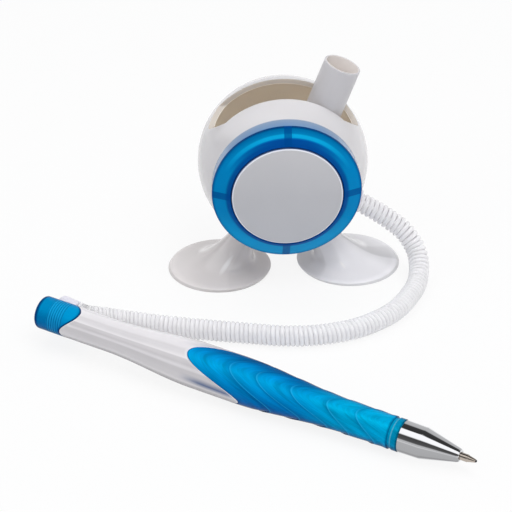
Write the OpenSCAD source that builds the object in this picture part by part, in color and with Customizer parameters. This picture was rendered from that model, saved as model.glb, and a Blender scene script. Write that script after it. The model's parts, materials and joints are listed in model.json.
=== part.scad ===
// Desk ballpoint pen on a curly cord, with its ball stand.
// A round shell on two suction feet carries a blue bezel with a light disc,
// a leaning tube that parks the pen, and the outlet of the cord.
// The pen lies on the table in front, tip to the right.

/* [Ball stand] */
// Outside diameter of the ball
ball_d = 52; // [49:0.5:57]
// Wall of the ball
ball_wall = 1.6; // [1.2:0.1:2]
// Place of the stand to the right of the middle of the whole set
stand_x = 14.8; // [13:0.1:17]
// Place of the stand behind the middle of the whole set
stand_y = 45.5; // [44:0.1:50]
// How far the round collar on the ball's front stays inside the ball's outline
collar_inset = 3.6; // [3:0.1:5]
// How far the collar stands out in front of the ball
collar_out = 4.1; // [3.4:0.1:6]
// Wall of the collar
collar_wall = 1.45; // [1.3:0.05:1.8]
// Radius of the soft fillet between the collar and the ball
collar_fillet = 0.6; // [0.4:0.1:1.6]
// How far the collar faces down, in degrees
front_tilt = 3.7; // [0:0.1:6]
// Turn of the collar to the right, in degrees
front_turn = 0.5; // [0:0.1:2]

/* [Clip slot] */
// Middle of the slot in front of the ball's centre
slot_ahead = 2.1; // [1.5:0.1:2.5]
// Height of the slot's bottom above the ball's centre
slot_floor = 12.4; // [11:0.1:17]
// Clearance between the tube and each long edge of the slot
slot_gap = 0.25; // [0.15:0.05:0.6]
// Rise of the slot's bottom from its middle to its long edges
slot_dip = 4.7; // [3:0.1:6]

/* [Pen tube] */
// Outside diameter of the tube
tube_d = 11.3; // [10.9:0.1:12]
// Wall of the tube
tube_wall = 0.55; // [0.45:0.05:0.7]
// Length of the tube
tube_length = 59; // [52:0.5:66]
// Lean of the tube to the right, in degrees
tube_lean = 20.4; // [16:0.2:23]
// Distance of the tube's axis from the ball's centre
tube_shift = 5; // [4.4:0.1:6]
// Wall of the socket that holds the tube's foot
socket_wall = 1.2; // [1:0.1:1.5]
// Height of that socket
socket_height = 5.8; // [4:0.2:8]
// Clearance round the tube in its socket
socket_fit = 0.15; // [0.1:0.05:0.3]
// Thickness left under the tube at the ball's skin
socket_floor = 1.5; // [1.3:0.1:2]
// Thickness of the tube's closed end
tube_floor = 1.2; // [1:0.1:1.6]
// Height of the round between that end and the bore
tube_round = 3; // [1.5:0.5:4]

/* [Suction feet] */
// Diameter of a foot's rim
foot_d = 31.5; // [29:0.5:33]
// Height of the neck's top above the table
foot_height = 13.3; // [12:0.1:16]
// Diameter of the neck
foot_neck_d = 8.4; // [7.6:0.2:9]
// Radius of a foot's hollow cone, near its rim
foot_cone_r = 10.4; // [9:0.2:12]
// Thickness of the rim's lip
foot_lip = 1.2; // [1:0.1:1.6]
// Depth of the hollow under a foot
foot_cup = 2.6; // [1.6:0.2:3]
// Distance between the middles of the two rims
foot_span = 41.2; // [38:0.2:44]
// Sideways offset of the feet from the ball's centre
foot_offset = 0.7; // [0:0.1:1.2]
// Turn of the pair of feet about the upright axis, in degrees
foot_turn = 2.7; // [0:0.3:6]
// Where the necks meet the ball, in degrees from straight down
foot_angle = 23.5; // [22:0.5:26]
// Diameter of the foot's stub through the ball's wall
foot_stub_d = 5.2; // [4.6:0.2:5.8]
// Diameter of the snap head inside the ball
foot_head_d = 6.8; // [6.6:0.2:7.6]

/* [Bezel and disc] */
// How far the blue bezel stands out over the collar's side
bezel_over = 0.2; // [0.1:0.05:0.8]
// Width of the bezel's rim, from its rear edge to the front bevel
bezel_rim = 1.2; // [0.8:0.1:1.8]
// Rise of the bezel's bevelled face towards the middle
bezel_rise = 2.3; // [2:0.1:3.6]
// Wall of the bezel's channel
bezel_wall = 1.1; // [0.9:0.1:1.3]
// Width of each of the four ribs across the channel
rib_w = 2; // [1.2:0.1:3]
// Width of the blue band between the bezel's edge and the disc
bezel_band = 5.9; // [5:0.1:7]
// How far the disc stands proud of the bezel
disc_proud = 0.4; // [0.2:0.1:1]
// Clearance round the disc
disc_fit = 0.2; // [0.1:0.05:0.3]
// Thickness of the plate behind the bezel
plate_t = 1.4; // [1.2:0.1:1.8]
// Depth of that plate behind the collar's front edge
plate_back = 1.6; // [1.2:0.1:2]

/* [Pen] */
// Length of the pen
pen_length = 142; // [140:0.5:146]
// Greatest radius of the barrel
belly_r = 6.9; // [6.6:0.05:7.2]
// Radius of the barrel near its rear end
rear_r = 5; // [4.8:0.05:5.2]
// Radius of the waist of the grip
waist_r = 4.9; // [4.7:0.02:5]
// Radius of the grip's front end
front_r = 4.82; // [4.7:0.02:4.9]
// Wall of the white barrel shell
shell_wall = 1.2; // [1:0.1:1.5]
// Depth of the lengthwise flutes on the shell
flute_depth = 0.22; // [0:0.02:0.3]
// Number of flutes
flute_count = 10; // [8:1:12]
// Gap line between the shell and the blue pieces
seam = 0.12; // [0.08:0.02:0.2]
// Relief of the leaf steps on the grip
leaf_relief = 0.24; // [0.1:0.02:0.3]
// Radius of the bore through the grip
grip_bore = 3; // [2.8:0.05:3.2]
// Turn of the blue tongue from straight up, in degrees
tongue_turn = 28; // [20:1:36]
// Turn of the cap's tongue back from the grip's, in degrees
cap_turn = 7.5; // [0:0.5:12]
// Length of the blue neck ring
neck_length = 3; // [2.6:0.2:4]
// Length of the straight part of the nose
nose_straight = 6.4; // [5.8:0.2:7.4]
// Radius of the nose behind
nose_r = 4.7; // [4.5:0.02:4.8]
// Radius of the nose's edge, where its cone begins
nose_edge_r = 4.58; // [4.4:0.02:4.7]
// Length of the cone of the nose
nose_cone_length = 11.2; // [10:0.2:12]
// Radius of the nose at its mouth
nose_mouth_r = 1.9; // [1.7:0.05:2]
// Length of the writing tip in front of the nose
tip_length = 4.9; // [4.4:0.1:5.5]
// Radius of the writing tip's shank
tip_r = 1.1; // [1:0.05:1.15]
// Outside radius of the refill
refill_r = 1.6; // [1.5:0.05:1.75]
// Wall of the refill
refill_wall = 0.35; // [0.3:0.05:0.4]

/* [Pen on the table] */
// Place of the pen's rear end, to the left of the middle
pen_left = 58.8; // [56:0.2:62]
// Place of the pen's rear end, behind the middle
pen_behind = 4.9; // [4:0.1:7]
// Turn of the pen about the upright axis, in degrees
pen_turn = 32.4; // [32:0.2:34]
// Height of the nose's edge above the table
nose_lift = 0.2; // [0:0.05:0.4]

/* [Cord] */
// Outside diameter of the coil
coil_d = 6.4; // [6:0.1:6.6]
// Angle below the level at which the cord leaves the ball
exit_down = 30.5; // [28:0.5:33]
// Turn of the cord's outlet towards the front, in degrees
exit_turn = 5.2; // [3:0.2:8]
// Diameter of the bush's flange on the ball
bush_d = 7.2; // [6.8:0.1:8]
// Thickness of that flange
bush_flange = 1.2; // [1:0.1:1.6]
// Diameter of the bush's sleeve
bush_sleeve_d = 4.4; // [4:0.1:5]
// Diameter of the cord's moulded tail
tail_d = 1.9; // [1.6:0.1:2.2]
// Diameter of the stop inside the ball
anchor_d = 4; // [3.6:0.2:5]
// Diameter of the cord's end fitting at the pen
ferrule_d = 6; // [5.8:0.1:6.4]
// Length of that fitting
ferrule_length = 6.3; // [5.8:0.1:7]
// Diameter of the fitting's stub in the pen's cap
ferrule_stub_d = 2.6; // [2.2:0.1:3]

/* [Hidden] */
$fn = 64;

// turning a point about the upright and the two level axes
function turn_z(a, v) = [v.x * cos(a) - v.y * sin(a), v.x * sin(a) + v.y * cos(a), v.z];
function turn_y(a, v) = [v.x * cos(a) + v.z * sin(a), v.y, v.z * cos(a) - v.x * sin(a)];
function turn_x(a, v) = [v.x, v.y * cos(a) - v.z * sin(a), v.y * sin(a) + v.z * cos(a)];
// half-chord of a circle of radius r at distance d from its centre
function chord(r, d) = sqrt(r * r - d * d);
// point i of an arc about c, from angle a to angle b in n steps
function arc(c, r, a, b, n) = [for (i = [0:n]) c + r * [cos(a + (b - a) * i / n), sin(a + (b - a) * i / n)]];

// a skin over closed rings that all have the same number of points
module skin(rings) {
    m = len(rings);
    n = len(rings[0]);
    sides = [for (i = [0:m - 2], j = [0:n - 1])
        let (k = (j + 1) % n)
        for (f = [[i * n + k, i * n + j, (i + 1) * n + k], [i * n + j, (i + 1) * n + j, (i + 1) * n + k]]) f];
    first = [[for (j = [0:n - 1]) j]];
    last = [[for (j = [n - 1:-1:0]) (m - 1) * n + j]];
    polyhedron(points = [for (r = rings, p = r) p], faces = concat(first, sides, last));
}

// the ball
ball_r = ball_d / 2;
inner_r = ball_r - ball_wall;
foot_seat_r = foot_neck_d / 2 + 0.1;
foot_seat = chord(ball_r, foot_seat_r);
ball_z = foot_height + foot_seat * cos(foot_angle);
module at_ball() translate([stand_x, stand_y, ball_z]) children();

// the collar and what sits in it, as distances in front of the ball's centre
collar_r = ball_r - collar_inset;
collar_front = chord(ball_r, collar_r) + collar_out;
collar_bore = collar_r - collar_wall;
collar_root = chord(ball_r, collar_r) - ball_wall / 2;
plate_face = collar_front - plate_back;
plate_rear = plate_face - plate_t;
plate_gap = 0.1;
bezel_r = collar_r + bezel_over;
disc_r = bezel_r - bezel_band;
bezel_in = disc_r + disc_fit;
bezel_edge = collar_front + bezel_rim;
bezel_face = bezel_edge + bezel_rise;
disc_face = bezel_face + disc_proud;
// drawn in the plane of radius and forward distance, then turned about the level axis to the front
quarter = 90;
module facing_front() rotate([0, 0, front_turn]) rotate([quarter + front_tilt, 0, 0]) children();

// the slot and the tube
slot_w = tube_d + 2 * slot_gap;
tube_r = tube_d / 2;
tube_bore = tube_r - tube_wall;
socket_r = tube_r + socket_fit;
tube_seat = chord(ball_r - socket_floor, tube_shift + socket_r);
module at_tube() at_ball() translate([0, -slot_ahead, 0]) rotate([0, tube_lean, 0])
    translate([tube_shift, 0, -tube_seat]) children();

// the feet
foot_r = foot_d / 2;
neck_r = foot_neck_d / 2;
stub_r = foot_stub_d / 2;
stub_fit = 0.1;
head_r = foot_head_d / 2;
head_t = 1.6;
head_gap = 0.2;
head_seat = chord(inner_r, head_r + head_gap) - 0.06;

// the cord's outlet
bush_r = bush_d / 2;
bush_seat = chord(ball_r, bush_r + 0.15);
bush_face = bush_seat + bush_flange;
bush_fit = 0.08;
sleeve_r = bush_sleeve_d / 2;
sleeve_end = inner_r - 1.8;
tail_r = tail_d / 2;
module at_outlet() at_ball() rotate([0, 0, -exit_turn]) rotate([0, 90 + exit_down, 0]) children();

module ball_shell() color("#f2f1f0") difference() {
    union() {
        at_ball() {
            sphere(r = ball_r, $fn = 128);
            facing_front() rotate_extrude($fn = 128) polygon([
                [collar_bore, collar_root], [collar_r, collar_root],
                [collar_r, collar_front - 0.3], [collar_r - 0.3, collar_front], [collar_bore, collar_front]]);
            facing_front() rotate_extrude($fn = 128) polygon(fillet_points());
        }
    }
    at_ball() {
        difference() {
            sphere(r = inner_r, $fn = 128);
            // the socket's post stays standing inside
            rotate([0, tube_lean, 0]) translate([tube_shift, -slot_ahead, -ball_r])
                cylinder(r = socket_r + socket_wall, h = ball_r - tube_seat + socket_height);
        }
        facing_front() translate([0, 0, plate_rear]) cylinder(r = collar_bore, h = ball_r, $fn = 128);
        rotate([quarter, 0, quarter]) translate([0, 0, -ball_r - 1])
            linear_extrude(height = ball_d + 2) slot_outline();
        for (side = [-1, 1]) at_neck(side) {
            translate([0, 0, foot_seat]) cylinder(r = foot_seat_r + 2, h = ball_r);
            cylinder(r = stub_r + stub_fit, h = ball_d);
            // a pocket in the socket's post clears the snap head
            translate([0, 0, head_seat - head_t - head_gap])
                cylinder(r = head_r + head_gap, h = head_t + head_gap + 0.05);
        }
    }
    at_tube() cylinder(r = socket_r, h = ball_d);
    at_outlet() {
        translate([0, 0, bush_seat]) cylinder(r = bush_r + 2, h = ball_r);
        translate([0, 0, inner_r / 2]) cylinder(r = sleeve_r + bush_fit, h = ball_r);
    }
}

// the concave round between ball and collar, closed inside the wall
fillet_r = collar_fillet;
fillet_mid = [collar_r + fillet_r, chord(ball_r + fillet_r, collar_r + fillet_r)];
fillet_low = atan2(-fillet_mid.y, -fillet_mid.x) + 360;
function fillet_points() = concat(
    arc(fillet_mid, fillet_r, 180, fillet_low, 8),
    [[collar_r - 0.4, fillet_mid.y - fillet_r - 1], [collar_r - 0.4, fillet_mid.y]]);

// the slot seen from the side: x to the back, y up, with a pointed trough for its bottom
slot_half = slot_w / 2;
slot_steps = 10;
module slot_outline() translate([-slot_ahead, slot_floor]) polygon(concat(
    [for (i = [-slot_steps:slot_steps]) let (q = i / slot_steps)
        [slot_half * q, slot_dip * pow(abs(q), 1.4)]],
    [[slot_half, ball_r], [-slot_half, ball_r]]));

module front_plate() color("#e9e9ea") at_ball() facing_front()
    translate([0, 0, plate_rear]) cylinder(r = collar_bore - plate_gap, h = plate_t, $fn = 128);

// a blue channel ring, open to the back, with four ribs across the channel
module front_bezel() color("#0c86cf") at_ball() facing_front() {
    rotate_extrude($fn = 128) polygon([
        [bezel_r - bezel_wall, collar_front], [bezel_r - 0.25, collar_front], [bezel_r, collar_front + 0.25],
        [bezel_r, bezel_edge - 0.4], [bezel_r - 0.12, bezel_edge - 0.1], [bezel_r - 0.5, bezel_edge + 0.1],
        [bezel_in + 0.35, bezel_face], [bezel_in, bezel_face - 0.3],
        [bezel_in, plate_face], [bezel_in + bezel_wall, plate_face],
        [bezel_in + bezel_wall, bezel_face - bezel_wall - 0.3],
        [bezel_r - bezel_wall, bezel_edge - bezel_wall + 0.5]]);
    for (a = [0:90:270]) rotate([0, 0, a]) intersection() {
        translate([bezel_in + bezel_wall / 2, -rib_w / 2, collar_front])
            cube([bezel_r - bezel_in - bezel_wall, rib_w, bezel_rise + bezel_rim]);
        rotate_extrude($fn = 128) polygon([
            [bezel_in + bezel_wall / 2, collar_front], [bezel_r - bezel_wall / 2, collar_front],
            [bezel_r - bezel_wall / 2, bezel_edge - bezel_wall + 0.8],
            [bezel_in + bezel_wall / 2, bezel_face - bezel_wall + 0.2]]);
    }
}

// a shallow cap whose skirt stands on the plate
module front_disc() color("#c3c4c8") at_ball() facing_front() rotate_extrude($fn = 128) polygon([
    [0, disc_face - 1.4], [disc_r - 1.3, disc_face - 1.4], [disc_r - 1.3, plate_face], [disc_r, plate_face],
    [disc_r, disc_face - 0.3], [disc_r - 0.3, disc_face], [0, disc_face]]);

module pen_tube() color("#dddbdd") at_tube() rotate_extrude() polygon([
    [0, 0], [tube_r - 0.3, 0], [tube_r, 0.3], [tube_r, tube_length - 0.15], [tube_r - 0.15, tube_length],
    [tube_bore, tube_length], [tube_bore, tube_floor + tube_round],
    [tube_bore * 0.85, tube_floor + tube_round / 3], [tube_bore * 0.5, tube_floor], [0, tube_floor]]);

// one flexible suction foot: a leaning trumpet from its rim to the neck's flat top
module at_neck(side) rotate([0, 0, foot_turn]) rotate([0, 180 - side * foot_angle, 0]) children();
foot_lead = foot_seat * sin(foot_angle);
function foot_middle(side, z) = [
    side * foot_lead + (side * (foot_span / 2 - foot_lead) + foot_offset) * (foot_height - z) / foot_height,
    0, z];
function foot_ring(side, r, z) = let (lean = foot_angle * pow(z / foot_height, 3))
    [for (j = [0:39]) let (a = j * 9)
        foot_middle(side, z) + turn_y(-side * lean, [r * cos(a), r * sin(a), 0])];
// radius of the trumpet at a share t of its height
function trumpet(t) = neck_r + (foot_cone_r - neck_r) * pow(1 - t, 2)
    + (foot_r * 0.93 - foot_cone_r) * pow(1 - t, 18);
function trumpet_z(t) = foot_lip * 1.1 + (foot_height - foot_lip * 1.1) * t;
module foot(side) {
    cup = [for (t = [0.08, 0.3, 0.5, 0.7, 0.86, 1])
        foot_ring(side, (foot_r - foot_lip) * t, foot_cup * (1 - t * t))];
    lip = [for (q = [[0, 0], [0, foot_lip * 0.6], [0.12, foot_lip * 0.85], [0.4, foot_lip]])
        foot_ring(side, foot_r - q.x, q.y)];
    horn = [for (t = [0.003, 0.02, 0.04, 0.065, 0.1, 0.15, 0.22, 0.32, 0.45, 0.6, 0.8, 1])
        foot_ring(side, trumpet(t), trumpet_z(t))];
    translate([stand_x, stand_y, 0]) rotate([0, 0, foot_turn]) skin(concat(cup, lip, horn));
    at_ball() at_neck(side) {
        translate([0, 0, inner_r - 1]) cylinder(r = stub_r, h = foot_seat - inner_r + 2);
        translate([0, 0, head_seat - head_t]) cylinder(r1 = head_r - 0.8, r2 = head_r, h = head_t);
    }
}
module foot_left() color("#e4e4e6") foot(-1);
module foot_right() color("#e4e4e6") foot(1);

// the moulded bush where the cord leaves the ball
module cord_bush() color("#ececee") at_outlet() difference() {
    union() {
        translate([0, 0, bush_seat]) cylinder(r = bush_r, h = bush_flange);
        translate([0, 0, sleeve_end]) cylinder(r = sleeve_r, h = bush_seat - sleeve_end + 0.5);
    }
    cylinder(r = tail_r + bush_fit, h = ball_d);
}
// the cord's moulded tail and the stop inside the ball
module cord_anchor() color("#f3f3f5") at_outlet() {
    translate([0, 0, sleeve_end - 1]) cylinder(r = tail_r, h = bush_face - sleeve_end + 1);
    translate([0, 0, sleeve_end - 2.2]) cylinder(r = anchor_d / 2, h = 2.2);
}

// the pen: distances along it run from the rear end
nose_end = pen_length - tip_length;
nose_edge = nose_end - nose_cone_length;
nose_back = nose_edge - nose_straight;
grip_front = nose_back - neck_length;
rear_at = grip_front * 0.206;
swell_at = grip_front * 0.4635;
belly_at = grip_front * 0.57;
waist_at = grip_front * 0.884;
// the pen lies on its belly, with the edge of its nose just over the table
rest_at = belly_at + (waist_at - belly_at) * 0.14;
rest_r = pen_r(rest_at);
pen_pitch = asin((rest_r - nose_edge_r - nose_lift) / (nose_edge - rest_at));
pen_rest = rest_r * cos(pen_pitch) + rest_at * sin(pen_pitch) + 0.02;
module at_pen() translate([-pen_left, pen_behind, pen_rest]) rotate([0, 0, -pen_turn])
    rotate([0, 90 + pen_pitch, 0]) children();
function from_pen(v) = [-pen_left, pen_behind, pen_rest] + turn_z(-pen_turn, turn_y(90 + pen_pitch, v));
// x runs through the tongue that faces up and to the front
module at_tongue() at_pen() rotate([0, 0, 180 + tongue_turn]) children();

function blend(a, b, t) = a + (b - a) * (1 - cos(180 * t)) / 2;
function pen_r(s) =
    s < rear_at ? rear_r
    : s < swell_at ? blend(rear_r, belly_r, (s - rear_at) / (swell_at - rear_at))
    : s < belly_at ? belly_r
    : s < waist_at ? blend(belly_r, waist_r, (s - belly_at) / (waist_at - belly_at))
    : blend(waist_r, front_r, (s - waist_at) / (grip_front - waist_at));

// edge of the shell towards the grip and towards the cap, at height h from the tongue's plane
point_at = grip_front * 0.601;
tongue_root = grip_front * 0.4378;
tongue_half = belly_r * 1.007;
function shell_front(h) = tongue_root
    + (point_at - tongue_root) * pow(max(0, 1 - pow(h / tongue_half, 2)), 1.2);
cap_back = rear_r * 1.79;
cap_tongue = rear_r * 1.06;
function shell_rear(h) = cap_back + cap_tongue * pow(h / rear_r, 2);
edge_h = belly_r * 1.3;
field_t = belly_r * 3;
// everything in front of the shell's front edge, pushed forward by g
module level_cut() rotate([90, 0, 0]) translate([0, 0, -field_t / 2])
    linear_extrude(height = field_t) children();
module front_field(g) level_cut() polygon(concat(
    [for (i = [-12:12]) [edge_h * i / 12, shell_front(edge_h * i / 12) + g]],
    [[edge_h, pen_length], [-edge_h, pen_length]]));
// everything behind the shell's rear edge, pulled back by g
module rear_field(g) rotate([0, 0, -cap_turn]) level_cut() polygon(concat(
    [for (i = [-10:10]) let (h = rear_r * 1.1 * i / 10) [h, shell_rear(h) - g]],
    [[edge_h, cap_back + cap_tongue * 1.3], [edge_h, -cap_back],
     [-edge_h, -cap_back], [-edge_h, cap_back + cap_tongue * 1.3]]));

// a solid of revolution between two distances, offset inwards from the pen's outline
module pen_body(from, to, inset, n) rotate_extrude() polygon(concat(
    [[0, from]], [for (i = [0:n]) let (s = from + (to - from) * i / n) [pen_r(s) - inset, s]], [[0, to]]));

// the cap: fine ring grooves at the rear and one smooth tongue on each side
groove_at = rear_r * 0.89;
groove_pitch = rear_r * 0.156;
groove_count = 7;
groove_depth = 0.16;
cap_round = 1;
cap_spigot = rear_r - shell_wall - seam;
cap_spigot_from = cap_back * 0.8;
cap_spigot_to = cap_back + cap_tongue * 1.4;
cap_hollow = rear_r / 2;
cap_hollow_from = cap_back * 0.66;
module rear_cap() color("#0c86cf") at_tongue() difference() {
    union() {
        intersection() {
            rotate_extrude() polygon(concat(
                [[0, 0], [pen_r(0) - cap_round, 0]],
                arc([pen_r(0) - cap_round, cap_round], cap_round, -75, 0, 5),
                [for (i = [0:groove_count - 1], q = [[0, 0], [0.25, 1], [0.5, 0]])
                    let (s = groove_at + (i + q.x) * groove_pitch) [pen_r(s) - q.y * groove_depth, s]],
                [for (q = [0.4, 0.8, 1.2]) let (s = cap_back + cap_tongue * q) [pen_r(s), s]],
                [[0, cap_back + cap_tongue * 1.2]]));
            rear_field(seam);
        }
        translate([0, 0, cap_spigot_from]) cylinder(r = cap_spigot, h = cap_spigot_to - cap_spigot_from);
    }
    // hollow for the refill's free end
    translate([0, 0, cap_hollow_from]) cylinder(r = cap_hollow, h = cap_spigot_to);
    rotate([0, 0, -180 - tongue_turn]) at_stub() cylinder(r = stub_hole_r, h = ferrule_out);
}

// the white shell: a fluted loft, bored to an even wall and cut along both curved edges
flute_sides = 6 * flute_count;
shell_from = cap_back * 0.89;
shell_to = point_at * 1.027;
shell_rings = 16;
function flute_fade(s) = max(0, sin(180 * (s - shell_from) / (shell_to - shell_from)));
function shell_ring(s) = [for (j = [0:flute_sides - 1]) let (a = 360 * j / flute_sides,
    r = pen_r(s) - flute_depth * flute_fade(s) * (1 - cos(flute_count * a)) / 2)
    [r * cos(a), r * sin(a), s]];
module barrel_shell() color("#eceaee") at_tongue() difference() {
    intersection() {
        skin([for (i = [0:shell_rings]) shell_ring(shell_from + (shell_to - shell_from) * i / shell_rings)]);
        difference() {
            translate([-field_t / 2, -field_t / 2, shell_from - 2])
                cube([field_t, field_t, shell_to - shell_from + 4]);
            rear_field(0);
            front_field(0);
        }
    }
    pen_body(shell_from - 3, shell_to + 3, shell_wall, 24);
}

// the grip: tongues and overlapping leaves, as rings that bend forward at the sides
leaf_at = grip_front * [0.4378, 0.564, 0.6378, 0.7313, 0.8283, 0.9064, 1];
leaf_bend = belly_r * [2.754, 2.1, 2.17, 1.81, 1.16, 1.01, 0];
leaf_last = len(leaf_at) - 1;
leaf_sides = 48;
// ring number u counts the leaves; its share is the way through one leaf
function leaf_mix(list, u) = let (i = max(0, min(floor(u), leaf_last - 1)))
    list[i] + (list[i + 1] - list[i]) * (u - i);
function leaf_ring(u, lift) = [for (j = [0:leaf_sides - 1]) let (a = 360 * j / leaf_sides,
    s = leaf_mix(leaf_at, u) + leaf_mix(leaf_bend, u) * sin(a) * sin(a),
    r = pen_r(min(s, grip_front)) + lift)
    [r * cos(a), r * sin(a), s]];
leaf_shares = [[0, -1], [0.035, 0], [0.25, -0.25], [0.5, -0.5], [0.75, -0.75]];
leaf_steps = [for (k = [1:leaf_last - 1], q = leaf_shares) [k + q.x, leaf_relief * q.y]];
spigot_from = tongue_root * 0.877;
spigot_to = point_at * 1.085;
spigot_inset = shell_wall + seam;
core_r = grip_bore + 1;
module grip_barrel() color("#0a93d6") at_tongue() difference() {
    union() {
        intersection() {
            skin(concat(
                [[for (j = [0:leaf_sides - 1]) let (a = 360 * j / leaf_sides)
                    [core_r * cos(a), core_r * sin(a), spigot_from]]],
                [for (u = [-0.3, 0, 0.25, 0.5, 0.75, 0.965]) leaf_ring(u, 0)],
                [for (q = leaf_steps) leaf_ring(q.x, q.y)],
                [leaf_ring(leaf_last - 0.02, -0.1), leaf_ring(leaf_last, -0.3)]));
            front_field(seam);
        }
        pen_body(spigot_from, spigot_to, spigot_inset, 16);
    }
    translate([0, 0, spigot_from - 1]) cylinder(r = grip_bore, h = pen_length);
}

thread_r = grip_bore - 0.06;
thread_length = 6;
ring_r = nose_r + 0.05;
module neck_ring() color("#0c86cf") at_tongue() difference() {
    rotate_extrude() polygon([
        [0, grip_front], [ring_r - 0.25, grip_front], [ring_r - 0.25, grip_front + neck_length * 0.28],
        [ring_r, grip_front + neck_length * 0.36], [ring_r, nose_back - 0.35],
        [ring_r - 0.2, nose_back - 0.15], [ring_r - 0.2, nose_back], [0, nose_back]]);
    translate([0, 0, grip_front - 1]) cylinder(r = grip_bore, h = neck_length + 2);
}

// the plated nose with its threaded spigot in the grip's bore
module nose_cone() color("#c8cbd0") at_tongue() difference() {
    union() {
        rotate_extrude() polygon(concat(
            [[0, nose_back], [nose_r - 0.15, nose_back], [nose_r, nose_back + 0.15],
             [nose_edge_r, nose_edge], [nose_mouth_r + 0.12, nose_end - 0.5]],
            arc([nose_mouth_r - 0.35, nose_end - 0.35], 0.35, 15, 90, 4),
            [[0, nose_end]]));
        translate([0, 0, nose_back - neck_length - thread_length])
            cylinder(r = thread_r, h = neck_length + thread_length + 1);
    }
    translate([0, 0, nose_back - neck_length - thread_length - 1])
        cylinder(r = refill_r + 0.3, h = neck_length + thread_length + 1 + adapter_seat - nose_back);
    cylinder(r = tip_r + 0.08, h = pen_length);
}

// the refill: ink tube, adapter, metal tip and ball
refill_from = 12;
adapter_seat = nose_edge + 1.5;
adapter_length = 8;
adapter_plug = 4;
adapter_back = adapter_seat - adapter_length;
module refill_tube() color("#b9c4da") at_tongue() difference() {
    translate([0, 0, refill_from]) cylinder(r = refill_r, h = adapter_back - refill_from);
    translate([0, 0, refill_from - 1]) cylinder(r = refill_r - refill_wall, h = pen_length);
}
module refill_adapter() color("#e6e6e0") at_tongue() difference() {
    union() {
        translate([0, 0, adapter_back]) cylinder(r = refill_r + 0.1, h = adapter_length);
        translate([0, 0, adapter_back - adapter_plug])
            cylinder(r = refill_r - refill_wall - 0.05, h = adapter_plug + 1);
    }
    translate([0, 0, adapter_back - adapter_plug - 1]) cylinder(r = 0.5, h = pen_length);
    translate([0, 0, adapter_seat - 3]) cylinder(r = tip_stem_r + 0.04, h = pen_length);
}
// stem in the adapter, shank through the nose, cone and socket of the ball
tip_stem_r = 0.8;
tip_point_r = 0.5;
ball_point_r = 0.4;
point_at_s = pen_length - ball_point_r;
module refill_tip() color("#c2b9a4") at_tongue() difference() {
    rotate_extrude() polygon([
        [0, adapter_seat - 2.9], [tip_stem_r, adapter_seat - 2.9], [tip_stem_r, adapter_seat],
        [tip_r, adapter_seat + 0.01], [tip_r, nose_end + tip_length * 0.45],
        [tip_r - 0.12, nose_end + tip_length * 0.47],
        [tip_point_r, point_at_s - 0.1], [tip_point_r - 0.06, point_at_s], [0, point_at_s]]);
    translate([0, 0, adapter_seat - 3.5]) cylinder(r = 0.35, h = pen_length);
    translate([0, 0, point_at_s]) sphere(r = ball_point_r + 0.03);
}
module writing_ball() color("#8e8f92") at_tongue() translate([0, 0, point_at_s]) sphere(r = ball_point_r);

// the cord's end fitting lies along the cap's far side and plugs into it
stub_r2 = ferrule_stub_d / 2;
stub_hole_r = stub_r2 + 0.06;
ferrule_at = 6.5;
ferrule_out = rear_r + ferrule_d / 2 + 0.75;
ferrule_drop = 79;
ferrule_low = -0.55;
ferrule_swing = 9.9;
ferrule_lean = 4.8;
stub_at = 3.2;
stub_deep = 2.9;
module at_stub() rotate([0, 0, ferrule_drop]) translate([stub_deep, 0, stub_at])
    rotate([0, 90, 0]) children();
module at_ferrule() at_pen() rotate([0, 0, ferrule_drop]) translate([ferrule_out, ferrule_low, ferrule_at])
    rotate([ferrule_swing, ferrule_lean, 0]) children();
ferrule_r = ferrule_d / 2;
module cord_ferrule() color("#e6e6ea") {
    at_ferrule() rotate([180, 0, 0]) rotate_extrude() polygon(concat(
        [[0, 0], [ferrule_r - 0.2, 0], [ferrule_r, 0.2], [ferrule_r - 0.15, ferrule_length - 2.4]],
        arc([ferrule_r - 2.15, ferrule_length - 2], 2, 8, 78, 6),
        [[0, ferrule_length]]));
    at_pen() at_stub() translate([0, 0, 0.15]) cylinder(r = stub_r2, h = ferrule_out - stub_deep - 0.15);
}

// the cord: a tube of the coil's outer diameter along its route
exit_dir = turn_z(-exit_turn, turn_y(90 + exit_down, [0, 0, 1]));
exit_point = [stand_x, stand_y, ball_z] + bush_face * exit_dir;
ferrule_local = [ferrule_out, ferrule_low, ferrule_at];
end_dir = from_pen(turn_z(ferrule_drop, turn_y(ferrule_lean, turn_x(ferrule_swing, [0, 0, -1]))))
    - from_pen([0, 0, 0]);
end_point = from_pen(turn_z(ferrule_drop, ferrule_local));
route_mid = [
    [43.5, 42.5, 20], [47.5, 41.5, 17.5], [51, 40.5, 15], [53.5, 39, 12.5], [55.5, 37, 9.5],
    [56.3, 34, 7], [56, 29.5, 4.8], [54.5, 24, 3.6], [51.6, 18, 3.3], [48.3, 12.4, 3.25],
    [44.5, 8, 3.25], [40, 4.4, 3.25], [34.4, 1, 3.25], [28, -1.2, 3.25], [20, -2.5, 3.25],
    [12, -2.2, 3.25], [4, -0.7, 3.25], [-4, 0.9, 3.25], [-12, 2.6, 3.25], [-20, 4.4, 3.3],
    [-27, 6, 3.5], [-33, 6.9, 4.1], [-38, 6.7, 5.2], [-42.5, 6.4, 6.2]];
route = concat([exit_point - 6 * exit_dir, exit_point], route_mid,
    [end_point - 3 * end_dir, end_point, end_point + 6 * end_dir]);
function spline(a, b, c, d, t) = 0.5 * (2 * b + (c - a) * t + (2 * a - 5 * b + 4 * c - d) * t * t
    + (3 * b - a - 3 * c + d) * t * t * t);
cord_line = concat(
    [for (i = [1:len(route) - 3], t = [0, 0.5])
        spline(route[i - 1], route[i], route[i + 1], route[i + 2], t)],
    [end_point]);
cord_last = len(cord_line) - 1;
function unit(v) = v / norm(v);
function cord_dir(i) = i == 0 ? exit_dir
    : i == cord_last ? end_dir
    : unit(cord_line[i + 1] - cord_line[i - 1]);
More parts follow.
